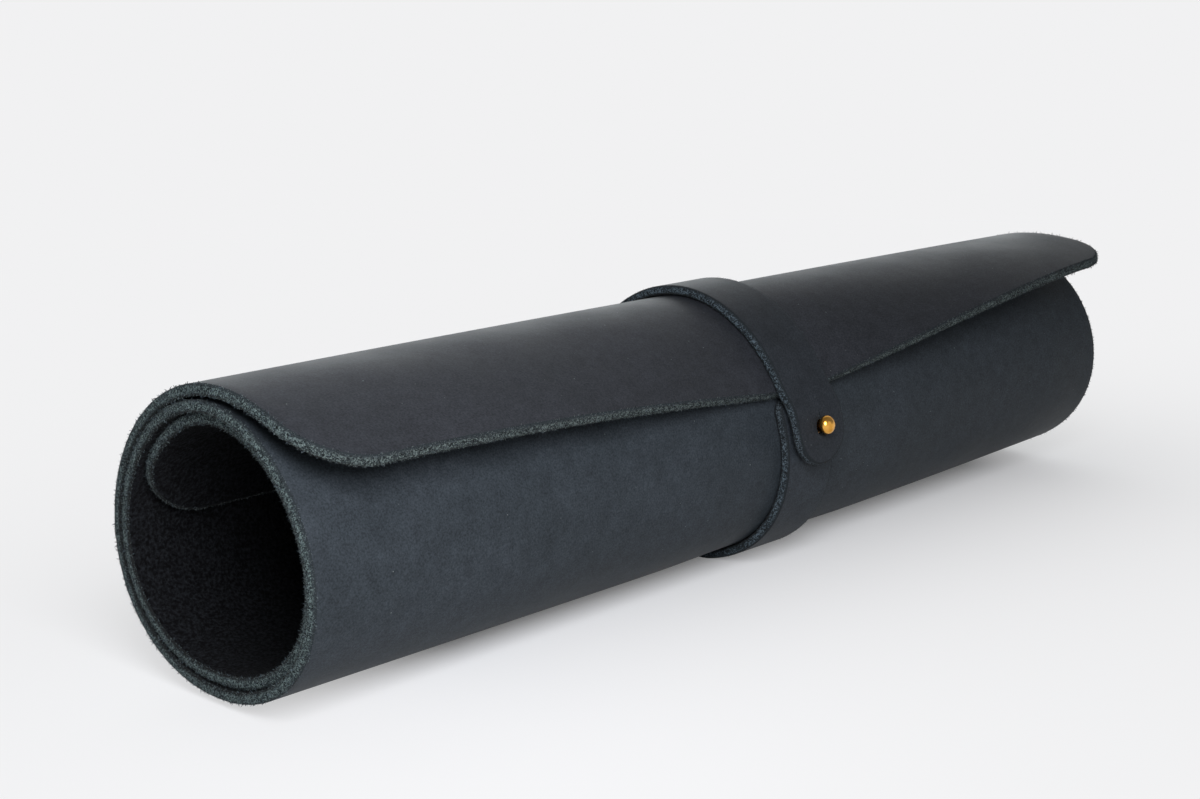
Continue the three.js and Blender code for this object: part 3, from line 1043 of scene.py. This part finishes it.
    def place(self, across: np.ndarray, along: np.ndarray, height: np.ndarray) -> np.ndarray:
        """Where points of the flat sheet lie in the roll.

        Args:
            across: Places across the sheet.
            along: Places along it from the flap's edge.
            height: Heights over the sheet's middle, positive on the grain side.

        Returns:
            Points as rows of x, y and z.
        """
        a = np.clip((across + self.width / 2) / self.line_step, 0, len(self.lines) - IN_LAST_CELL)
        u = np.clip(along / self.along_step, 0, self.lines.shape[2] - IN_LAST_CELL)
        a0, u0 = a.astype(int), u.astype(int)
        fa, fu = (a - a0)[:, None], (u - u0)[:, None]
        lines = self.lines.transpose(0, 2, 1)
        near = lines[a0, u0] * (1 - fu) + lines[a0, u0 + 1] * fu
        far = lines[a0 + 1, u0] * (1 - fu) + lines[a0 + 1, u0 + 1] * fu
        y, z, out_y, out_z, past = (near * (1 - fa) + far * fa).T
        deeper = (past / TURN - self.recess_from_turn) / (self.recess_to_turn - self.recess_from_turn)
        x = across + self.inner_recess * ease(deeper)
        return np.stack([x, y + out_y * height, z + out_z * height], axis=-1)


@dataclass
class StrapPath:
    """The strap's middle line, from the tab's tip over the roll to its stud end."""

    roll: Roll
    step: float = math.radians(0.25)
    fold_past: float = field(init=False)
    stud_end_past: float = field(init=False)
    stud_past: float = field(init=False)
    flange_top: float = field(init=False)
    tab_flesh: float = field(init=False)
    tab_grain: float = field(init=False)

    def __post_init__(self) -> None:
        """Works out where the strap folds, ends and carries the stud."""
        size, roll = self.roll.strap, self.roll
        self.fold_past = size.fold_rise / roll.radius
        self.stud_end_past = TURN - size.stud_end_drop / roll.radius
        self.stud_past = TURN - size.stud_drop / roll.radius
        crown = size.flange_diameter**2 / (8 * roll.radius)
        self.flange_top = size.fit + size.flange_thickness
        self.tab_flesh = self.flange_top + crown + size.fit
        self.tab_grain = self.tab_flesh + size.thickness

    def middle(self, past: np.ndarray) -> tuple[np.ndarray, np.ndarray]:
        """The strap's middle line.

        Args:
            past: Angles past the flap's edge, negative on the tab below the edge.

        Returns:
            Y and z.
        """
        size, roll = self.roll.strap, self.roll
        half = size.thickness / 2
        on_roll = roll.grain_radius(past, size.offset) + size.fit + half
        below = roll.grain_radius(past + TURN, size.offset) + size.fit + size.thickness
        on_stud = below + self.tab_flesh + half
        risen = self.stud_past - TURN + size.flange_diameter / 2 / roll.radius
        rise = ease((self.fold_past - past) / (self.fold_past - risen))
        return roll.polar(on_roll + (on_stud - on_roll) * rise, past)

    def trace(self, first: float, last: float) -> np.ndarray:
        """Walks the middle line by its length.

        Args:
            first: Angle past the flap's edge where the walk starts.
            last: Angle where it ends.

        Returns:
            Rows of length walked, y, z and the outward normal's y and z.
        """
        past = np.linspace(first, last, round(abs(last - first) / self.step) + 2)
        y, z = self.middle(past)
        walked = np.concatenate([[0], np.cumsum(np.hypot(np.diff(y), np.diff(z)))])
        slope_y, slope_z = np.gradient(y, past), np.gradient(z, past)
        size = np.hypot(slope_y, slope_z)
        return np.stack([walked, y, z, -slope_z / size, slope_y / size])

    def placer(self, trace: np.ndarray) -> Callable:
        """Makes the map from the flat strip to the frame along a traced line."""
        return partial(self.place, trace)

    def place(self, trace: np.ndarray, across: np.ndarray, along: np.ndarray,
              height: np.ndarray) -> np.ndarray:
        """Where points of the flat strip lie along a traced line, no lower than the table.

        Args:
            trace: What trace gave.
            across: Places across the strip.
            along: Places along it.
            height: Heights over its middle, positive on the grain side.

        Returns:
            Points as rows of x, y and z.
        """
        y, z, out_y, out_z = (np.interp(along, trace[0], row) for row in trace[1:])
        low = np.maximum(z + out_z * height, 0)
        return np.stack([self.roll.strap.offset + across, y + out_y * height, low], axis=-1)


# Sub-assemblies


@dataclass
class FrayedEdge:
    """Loose fibres on a cut edge, strewn by a geometry node tree."""

    density_per_mm2: float = 2.1
    length_mm: float = 0.55
    radius_mm: float = 0.05
    lean: float = 0.9
    shortest: float = 0.35
    longest: float = 1.3
    seed: int = 5
    sides: int = 3
    rings: tuple[tuple[float, float, float], ...] = ((0.0, 1.0, 0.0), (0.6, 0.75, 0.8))
    tip: tuple[float, float, float] = (3.2, 0.0, 1.0)

    def fibre(self) -> Object:
        """Makes one bent fibre of unit size, from rings of a height, a radius and a bend.

        Returns:
            The fibre, which isn't in the scene itself.
        """
        points = []
        for height, radius, bend in self.rings:
            for k in range(self.sides):
                a = k * TURN / self.sides
                points.append((radius * math.cos(a) + bend, radius * math.sin(a), height))
        points.append(self.tip)
        faces = [tuple(reversed(range(self.sides)))]
        for k in range(self.sides):
            n = (k + 1) % self.sides
            faces.append((k, n, self.sides + n, self.sides + k))
            faces.append((self.sides + k, self.sides + n, 2 * self.sides))
        mesh = bpy.data.meshes.new("fibre")
        mesh.from_pydata(points, [], faces)
        return bpy.data.objects.new("fibre", mesh)

    def tree(self) -> NodeTree:
        """Builds the node tree that strews fibres over the cut faces of a mesh.

        Returns:
            The tree, with a named input for each size.
        """
        tree = bpy.data.node_groups.new("frayed_edge", "GeometryNodeTree")
        tree.interface.new_socket("Geometry", in_out="OUTPUT", socket_type="NodeSocketGeometry")
        sizes = ("Density", "Length", "Radius", "Lean", "Shortest", "Longest", "Lowest")
        for name, kind in (("Geometry", "Geometry"), *((size, "Float") for size in sizes), ("Seed", "Int"),
                           ("Fibre", "Object"), ("Finish", "Material")):
            tree.interface.new_socket(name, in_out="INPUT", socket_type="NodeSocket" + kind)
        given = add_node(tree, "NodeGroupInput").outputs
        cut = add_node(tree, "GeometryNodeInputNamedAttribute", {"Name": "is_cut"}, data_type="BOOLEAN")
        place = add_node(tree, "GeometryNodeInputPosition").outputs["Position"]
        axes = add_node(tree, "ShaderNodeSeparateXYZ", {"Vector": place}).outputs
        clear = add_node(tree, "FunctionNodeCompare", {"A": axes["Z"], "B": given["Lowest"]},
                         data_type="FLOAT", operation="GREATER_THAN")
        chosen = add_node(tree, "FunctionNodeBooleanMath", {0: cut.outputs["Attribute"], 1: clear.outputs[0]},
                          operation="AND")
        strewn = add_node(tree, "GeometryNodeDistributePointsOnFaces", {
            "Mesh": given["Geometry"], "Selection": chosen.outputs[0], "Density": given["Density"],
            "Seed": given["Seed"]}).outputs
        one = add_node(tree, "GeometryNodeObjectInfo", {"Object": given["Fibre"]}).outputs["Geometry"]
        back = add_node(tree, "ShaderNodeMath", {0: given["Lean"], 1: -1.0}, operation="MULTIPLY").outputs[0]
        least = add_node(tree, "ShaderNodeCombineXYZ", {"X": back, "Y": back, "Z": 0.0})
        most = add_node(tree, "ShaderNodeCombineXYZ", {"X": given["Lean"], "Y": given["Lean"], "Z": TURN})
        tilt = add_node(tree, "FunctionNodeRandomValue", {"Min": least.outputs[0], "Max": most.outputs[0],
                        "Seed": given["Seed"]}, data_type="FLOAT_VECTOR").outputs[VECTOR_VALUE]
        turned = add_node(tree, "FunctionNodeRotateRotation", {
            "Rotation": strewn["Rotation"], "Rotate By": tilt}, rotation_space="LOCAL").outputs[0]
        some = add_node(tree, "FunctionNodeRandomValue", {FLOAT_MIN: given["Shortest"],
                        FLOAT_MAX: given["Longest"], "Seed": given["Seed"]}).outputs[FLOAT_VALUE]
        long = add_node(tree, "ShaderNodeMath", {0: given["Length"], 1: some}, operation="MULTIPLY")
        size = add_node(tree, "ShaderNodeCombineXYZ", {"X": given["Radius"], "Y": given["Radius"],
                        "Z": long.outputs[0]})
        grown = add_node(tree, "GeometryNodeInstanceOnPoints", {
            "Points": strewn["Points"], "Instance": one, "Rotation": turned, "Scale": size.outputs[0]})
        real = add_node(tree, "GeometryNodeRealizeInstances", {"Geometry": grown.outputs[0]})
        done = add_node(tree, "GeometryNodeSetMaterial", {
            "Geometry": real.outputs[0], "Material": given["Finish"]})
        add_node(tree, "NodeGroupOutput", {"Geometry": done.outputs[0]})
        return tree

    def grow(self, name: str, host: Object, finish: Material, slot: Slot) -> Object:
        """Grows fibres on a piece's cut faces, clear of the table.

        Args:
            name: Name of the new piece.
            host: The piece of leather.
            finish: The fibres' material.
            slot: The fibres' material slot; not used.

        Returns:
            The fibres, as a plain mesh.
        """
        obj = add_object(name, host.data.copy())
        modifier = obj.modifiers.new("fray", "NODES")
        modifier.node_group = self.tree()
        sizes = {"Density": self.density_per_mm2 / MM**2, "Length": self.length_mm * MM,
                 "Radius": self.radius_mm * MM, "Lean": self.lean, "Shortest": self.shortest,
                 "Longest": self.longest, "Lowest": 2 * self.length_mm * MM, "Seed": self.seed,
                 "Fibre": self.fibre(), "Finish": finish}
        for item in modifier.node_group.interface.items_tree:
            if item.in_out == "INPUT" and item.name in sizes:
                modifier[item.identifier] = sizes[item.name]
        bpy.context.view_layer.update()
        grown = obj.evaluated_get(bpy.context.evaluated_depsgraph_get())
        mesh = bpy.data.meshes.new_from_object(grown)
        mesh.name = name
        obj.modifiers.clear()
        obj.data = mesh
        return obj


@dataclass
class Pad:
    """The desk pad itself, one sheet of leather."""

    roll: Roll
    row_step: float = 2.0
    column_step: float = 3.0
    short_fray: FrayedEdge = field(default_factory=FrayedEdge)
    long_fray: FrayedEdge = field(default_factory=lambda: FrayedEdge(
        density_per_mm2=0.8, length_mm=0.85, radius_mm=0.12, lean=1.2, seed=21))

    def build(self) -> Object:
        """Makes the wound sheet.

        Returns:
            The sheet, without finishes.
        """
        roll = self.roll
        piece = CutPiece(roll.width, roll.length, roll.thickness, roll.corner, roll.corner,
                         self.row_step, self.column_step)
        return piece.flat().build("rolled_pad", roll.thickness, roll.place)

    def dress(self, sheet: Object, finishes: list[Material]) -> None:
        """Gives the sheet its finishes and its place in the frame.

        Args:
            sheet: The wound sheet.
            finishes: Materials of the grain, cut and flesh sides.
        """
        for material in finishes:
            sheet.data.materials.append(material)
        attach(sheet, Body.ROLL.value)
        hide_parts("desk_pad")

    def fray(self, sheet: Object, fibres: Material, wisps: Material) -> list[Object]:
        """Grows short fibres and longer wisps on the sheet's edge.

        Args:
            sheet: The wound sheet.
            fibres: Material of the short fibres.
            wisps: Material of the wisps.

        Returns:
            Both pieces.
        """
        grown = [self.short_fray.grow("pad_edge_fibres", sheet, fibres, Slot.PAD),
                 self.long_fray.grow("pad_edge_wisps", sheet, wisps, Slot.PAD)]
        for obj in grown:
            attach(obj, Body.ROLL.value)
        return grown


@dataclass
class Strap:
    """The strap, in two pieces that meet at the back."""

    path: StrapPath
    row_step: float = 0.9
    column_step: float = 1.0
    tip_steps: int = 20
    seam_past: float = math.radians(150)
    bend_length: float = 7.0
    edge_fray: FrayedEdge = field(default_factory=lambda: FrayedEdge(
        density_per_mm2=1.6, length_mm=0.4, seed=8))

    def over(self) -> Object:
        """Makes the part from the tab's tip over the top of the roll.

        Returns:
            The part, without finishes.
        """
        size = self.path.roll.strap
        tip_past = self.path.stud_past - TURN - size.width / self.path.roll.radius
        trace = self.path.trace(tip_past, self.seam_past)
        past = np.linspace(tip_past, self.seam_past, trace.shape[1])
        trace[0] -= float(np.interp(self.path.stud_past - TURN, past, trace[0])) - size.width / 2
        piece = CutPiece(size.width, float(trace[0][-1]), size.thickness, size.width / 2, 0.0, self.row_step,
                         self.column_step, corner_steps=self.tip_steps, end_is_cut=False, seed=11)
        leather = piece.flat(Buttonhole(size.width / 2))
        return leather.build("strap_over_roll", size.thickness, self.path.placer(trace))

    def under(self) -> Object:
        """Makes the part from the back, under the roll, to the stud end.

        Returns:
            The part, without finishes.
        """
        size = self.path.roll.strap
        trace = self.path.trace(self.path.stud_end_past, self.seam_past)
        piece = CutPiece(size.width, float(trace[0][-1]), size.thickness, size.stud_end_corner, 0.0,
                         self.row_step, self.column_step, end_is_cut=False, seed=17)
        return piece.flat().build("strap_under_roll", size.thickness, self.path.placer(trace))

    def fold(self) -> tuple[Vector, Vector]:
        """Where the tab starts and ends bending.

        Returns:
            Two points in the frame, in metres.
        """
        size = self.path.roll.strap
        trace = self.path.trace(self.path.fold_past, self.path.stud_past - TURN)
        start = np.array([size.offset, *trace[1:3, 0]])
        ahead = trace[1:3, 1] - trace[1:3, 0]
        along = np.array([0, *ahead]) / np.hypot(*ahead)
        return Vector(start * MM), Vector((start + along * self.bend_length) * MM)

    def dress(self, over: Object, under: Object, finishes: list[Material],
              stud_grain: Material) -> None:
        """Gives both parts their finishes and their places in the frame.

        Args:
            over: The part with the tab.
            under: The part with the stud.
            finishes: Materials of the grain, cut and flesh sides.
            stud_grain: Material of the grain side under the roll, without the darker tone at its free end.
        """
        for obj in (over, under):
            for material in finishes:
                obj.data.materials.append(material)
        under.data.materials[int(Face.GRAIN)] = stud_grain
        start, end = self.fold()
        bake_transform(over)
        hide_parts("strap_tab")
        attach(under, Body.ROLL.value)
        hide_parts("strap_band")

    def fray(self, over: Object, under: Object, fibres: Material) -> None:
        """Grows fibres on the edges of both parts; those on the part under the roll ride on the roll's body.

        Args:
            over: The part with the tab.
            under: The part with the stud.
            fibres: Material of the fibres.
        """
        over_fray = self.edge_fray.grow("strap_over_fibres", over, fibres, Slot.STRAP)
        under_fray = self.edge_fray.grow("strap_under_fibres", under, fibres, Slot.STRAP)
        start, end = self.fold()
        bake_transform(over_fray)
        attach(under_fray, Body.ROLL.value)


@dataclass
class Stud:
    """The brass button stud on the strap."""

    path: StrapPath
    head_diameter: float = 6.2
    head_height: float = 4.6
    neck_diameter: float = 4.0
    edge_round: float = 0.35
    sides: int = 72
    head_steps: int = 22
    run_up: float = 0.01

    def profile(self) -> np.ndarray:
        """Half section of the stud.

        Returns:
            Rows of radius and height over the strap.
        """
        size, path = self.path.roll.strap, self.path
        flange, neck, head = size.flange_diameter / 2, self.neck_diameter / 2, self.head_diameter / 2
        rows = [(0.0, size.fit), (flange - self.edge_round, size.fit), (flange, size.fit + self.edge_round)]
        rows += [(flange, path.flange_top - self.edge_round), (flange - self.edge_round, path.flange_top)]
        rows += [(neck + self.edge_round, path.flange_top), (neck, path.flange_top + self.edge_round)]
        flare = math.acos(neck / head)
        middle = path.tab_grain + size.fit + self.head_height / 2 * math.sin(flare)
        for a in np.linspace(-flare, math.pi / 2, self.head_steps):
            rows.append((head * math.cos(a), middle + self.head_height / 2 * math.sin(a)))
        return np.array(rows)

    def build(self) -> Object:
        """Turns the stud and sets it square on the strap.

        Returns:
            The stud, without a finish.
        """
        size, path = self.path.roll.strap, self.path
        trace = path.trace(path.stud_past - self.run_up, path.stud_past)
        y, z, out_y, out_z = trace[1:, -1]
        radius, height = self.profile().T
        turn = np.arange(self.sides) / self.sides * TURN
        across = np.outer(np.cos(turn), radius)
        down = np.outer(np.sin(turn), radius)
        rise = size.thickness / 2 + np.broadcast_to(height, across.shape)
        points = np.stack([size.offset + across, y + out_y * rise + out_z * down,
                           z + out_z * rise - out_y * down], axis=-1)
        rows = len(radius)
        faces = []
        for i in range(self.sides):
            j = (i + 1) % self.sides
            for k in range(rows - 1):
                faces.append((i * rows + k, j * rows + k, j * rows + k + 1, i * rows + k + 1))
        mesh = bpy.data.meshes.new("brass_stud")
        mesh.from_pydata((points.reshape(-1, 3) * MM).tolist(), [], faces)
        close_mesh(mesh, merge=True)
        return add_object("brass_stud", mesh)

    def dress(self, obj: Object, screw: Object, brass: Material) -> None:
        """Gives the stud and its screw their finish.

        Args:
            obj: The turned stud.
            screw: The frame's own screw, which stays as it is.
            brass: The finish.
        """
        obj.data.materials.append(brass)
        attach(obj, Body.ROLL.value)
        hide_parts("button_stud")
        screw.data.materials.clear()
        screw.data.materials.append(brass)


# Studio


@dataclass(frozen=True)
class Softbox:
    """A soft lamp of the studio."""

    name: str
    place: tuple[float, float, float]
    aim: tuple[float, float, float]
    size: tuple[float, float]
    watts: float
    tone: str

    def hang(self) -> None:
        """Hangs the lamp."""
        data = bpy.data.lights.new(self.name, "AREA")
        data.shape = "RECTANGLE"
        data.size, data.size_y = self.size
        data.energy = self.watts
        data.color = linear(self.tone)[:3]
        obj = add_object(self.name, data)
        obj.location = self.place
        obj.rotation_mode = "QUATERNION"
        obj.rotation_quaternion = (Vector(self.aim) - Vector(self.place)).to_track_quat("-Z", "Y")
        obj.visible_camera = False


LAMPS = (
    Softbox("left_softbox", (-0.33, -0.32, 0.3), (-0.2, 0, 0.04), (0.25, 0.25), 3.25, "#f8faff"),
    Softbox("back_softbox", (0.7, 1.05, 0.44), (0, 0, 0.08), (1.7, 0.5), 8.4, "#f2f9fc"),
)


@dataclass
class Studio:
    """Pale floor, soft light and the camera, in metres."""

    focal_px: float = 1935.0
    azimuth: float = math.radians(-47.53)
    elevation: float = math.radians(12.415)
    distance: float = 0.6221
    target: tuple[float, float, float] = (-0.0465, -0.0006, 0.06)
    nearest: float = 0.01
    sensor_mm: float = 36.0
    floor_size: float = 60.0
    floor_tone: str = "#ebebeb"
    backdrop_tone: str = "#f1f1f2"
    room_tone: str = "#1f1f1f"
    mirrored_tone: str = "#808080"
    pale_below: float = 0.06
    dim_above: float = 0.2
    wall_tone: str = "#e2e4e5"
    wall_side: tuple[float, float, float] = (0.6, 0.8, 0.0)
    wall_edge: tuple[float, float] = (0.3, 0.65)
    window_side: tuple[float, float, float] = (0.1, -0.98, 0.15)
    window_edge: tuple[float, float] = (0.8, 0.92)

    def camera(self) -> None:
        """Sets the camera where the photograph was taken from."""
        back = Vector((math.sin(self.azimuth) * math.cos(self.elevation),
                       -math.cos(self.azimuth) * math.cos(self.elevation), math.sin(self.elevation)))
        data = bpy.data.cameras.new("camera")
        data.sensor_width = self.sensor_mm
        data.lens = self.focal_px * self.sensor_mm / PHOTO_WIDTH_PX
        data.clip_start = self.nearest
        obj = add_object("camera", data)
        obj.location = Vector(self.target) + back * self.distance
        obj.rotation_mode = "QUATERNION"
        obj.rotation_quaternion = (-back).to_track_quat("-Z", "Y")
        bpy.context.scene.camera = obj

    def floor(self) -> None:
        """Lays the pale floor."""
        half = self.floor_size / 2
        mesh = bpy.data.meshes.new("floor")
        corners = [(-half, -half, 0), (half, -half, 0), (half, half, 0), (-half, half, 0)]
        mesh.from_pydata(corners, [], [(0, 1, 2, 3)])
        mesh.materials.append(WhiteTable("matt_white_table", self.floor_tone, self.backdrop_tone).material())
        add_object("floor", mesh)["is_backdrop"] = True

    def world(self) -> None:
        """Sets the room's own light: pale at the horizon, a pale wall behind, dim elsewhere.

        What is polished also shows the room's grey and a window in front, and the camera sees the
        backdrop alone.
        """
        world = bpy.data.worlds.new("studio")
        world.use_nodes = True
        tree = world.node_tree
        tree.nodes.clear()
        ray = add_node(tree, "ShaderNodeLightPath").outputs
        place = add_node(tree, "ShaderNodeTexCoord").outputs["Generated"]
        height = add_node(tree, "ShaderNodeSeparateXYZ", {"Vector": place}).outputs["Z"]
        backdrop = linear(self.backdrop_tone)
        dim, grey = (add_node(tree, "ShaderNodeValToRGB", {"Fac": height}, (
            (self.pale_below, self.backdrop_tone), (self.dim_above, tone))).outputs["Color"]
            for tone in (self.room_tone, self.mirrored_tone))
        shares = []
        for side, (first, full) in ((self.window_side, self.window_edge),
                                    (self.wall_side, self.wall_edge)):
            toward = add_node(tree, "ShaderNodeVectorMath", {0: place, 1: side}, operation="DOT_PRODUCT")
            shares.append(add_node(tree, "ShaderNodeMapRange", {
                "Value": toward.outputs["Value"], "From Min": first, "From Max": full}).outputs["Result"])
        window, wall = shares
        mirrored = add_node(tree, "ShaderNodeMix", {MIX_SHARE: window, MIX_UNDER: grey,
                            MIX_OVER: backdrop}, **COVER).outputs[MIXED]
        light = dim
        for share, over in ((ray["Is Glossy Ray"], mirrored), (wall, linear(self.wall_tone)),
                            (ray["Is Camera Ray"], backdrop)):
            light = add_node(tree, "ShaderNodeMix", {MIX_SHARE: share, MIX_UNDER: light,
                             MIX_OVER: over}, **COVER).outputs[MIXED]
        even = add_node(tree, "ShaderNodeBackground", {"Color": light, "Strength": 1.0})
        add_node(tree, "ShaderNodeOutputWorld", {"Surface": even.outputs[0]})
        bpy.context.scene.world = world

    def build(self) -> None:
        """Sets up the whole studio."""
        self.camera()
        self.floor()
        self.world()
        for lamp in LAMPS:
            lamp.hang()
        bpy.context.scene.view_settings.view_transform = "Standard"


def main() -> None:
    """Builds the object round its frame and reports each piece."""
    logging.basicConfig(level=logging.INFO, format="%(name)s: %(message)s")
    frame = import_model()
    Studio().build()

    grain = GrainLeather("waxed_full_grain_leather", "#3c4248", "#33393e", "#f0e4e4").material()
    cut = CutEdge("raw_cut_leather_edge", "#202528", "#0f1415", "#2d3638", "#637170").material()
    flesh = FleshSuede("dyed_suede_flesh_side", "#030304", "#1c1e21").material()
    strap_grain = GrainLeather("waxed_strap_leather", "#3c4248", "#33383e", "#dcd9d9", end_from_mm=90,
                               end_to_mm=160).material()
    stud_grain = GrainLeather("waxed_strap_leather_below", "#3c4248", "#33383e").material()
    strap_cut = CutEdge("raw_cut_strap_edge", "#1a1e21", "#0e1113", "#20272b", "#4c5860", grain_layer=0.16,
                        flesh_layer=0.78).material()
    fibres = LooseFibre("loose_leather_fibres", "#343c3e", "#768383").material()
    dark_fibres = LooseFibre("loose_strap_fibres", "#171b1d", "#465157").material()
    brass = TurnedBrass("turned_brass", "#ebb056", "#cb9036").material()

    roll = Roll(StrapSize())
    path = StrapPath(roll)
    pad = Pad(roll)
    sheet = pad.build()
    pad.dress(sheet, [grain, cut, flesh])
    strap = Strap(path)
    over, under = strap.over(), strap.under()
    pad_fray = pad.fray(sheet, fibres, dark_fibres)
    strap.fray(over, under, dark_fibres)
    strap.dress(over, under, [strap_grain, strap_cut, flesh], stud_grain)
    stud = Stud(path)
    stud.dress(stud.build(), frame["nodes"]["stud_screw"], brass)

    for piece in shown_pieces():
        log.info("%s: %d faces", piece.name, len(piece.data.polygons))


if __name__ == "__main__":
    main()
